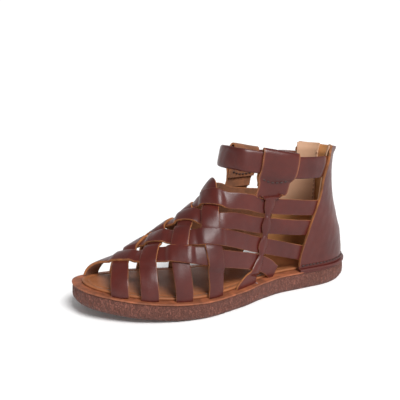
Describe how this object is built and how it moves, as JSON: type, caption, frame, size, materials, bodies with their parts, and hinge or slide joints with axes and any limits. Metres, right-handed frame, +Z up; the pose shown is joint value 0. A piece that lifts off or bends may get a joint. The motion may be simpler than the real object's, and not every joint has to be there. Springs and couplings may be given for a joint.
{
  "type": "sandal",
  "caption": "Left ankle sandal: broad leather straps woven over the foot, threaded side thongs, a puffy ankle strap through two loops, a closed heel counter and a crepe rubber sole.",
  "frame": {"origin": "middle of the footprint box, on the ground", "axes": "+X from heel to toe, +Y to the wearer's left, which is the outer side, +Z up"},
  "size_m": [0.255, 0.0948, 0.1275],
  "materials": {
    "crepe_rubber": "reddish brown crepe rubber with fine upright wrinkles on its side",
    "tan_leather": "raw cut edge of tan leather",
    "insole_leather": "smooth tan leather",
    "burgundy_leather": "smooth burgundy brown leather with a soft shine and tan cut edges"
  },
  "bodies": {
    "root": {"outsole": "crepe_rubber", "midsole": "tan_leather", "insole": "insole_leather", "upper": "burgundy_leather", "ankle_strap": "burgundy_leather"}
  },
  "joints": []
}
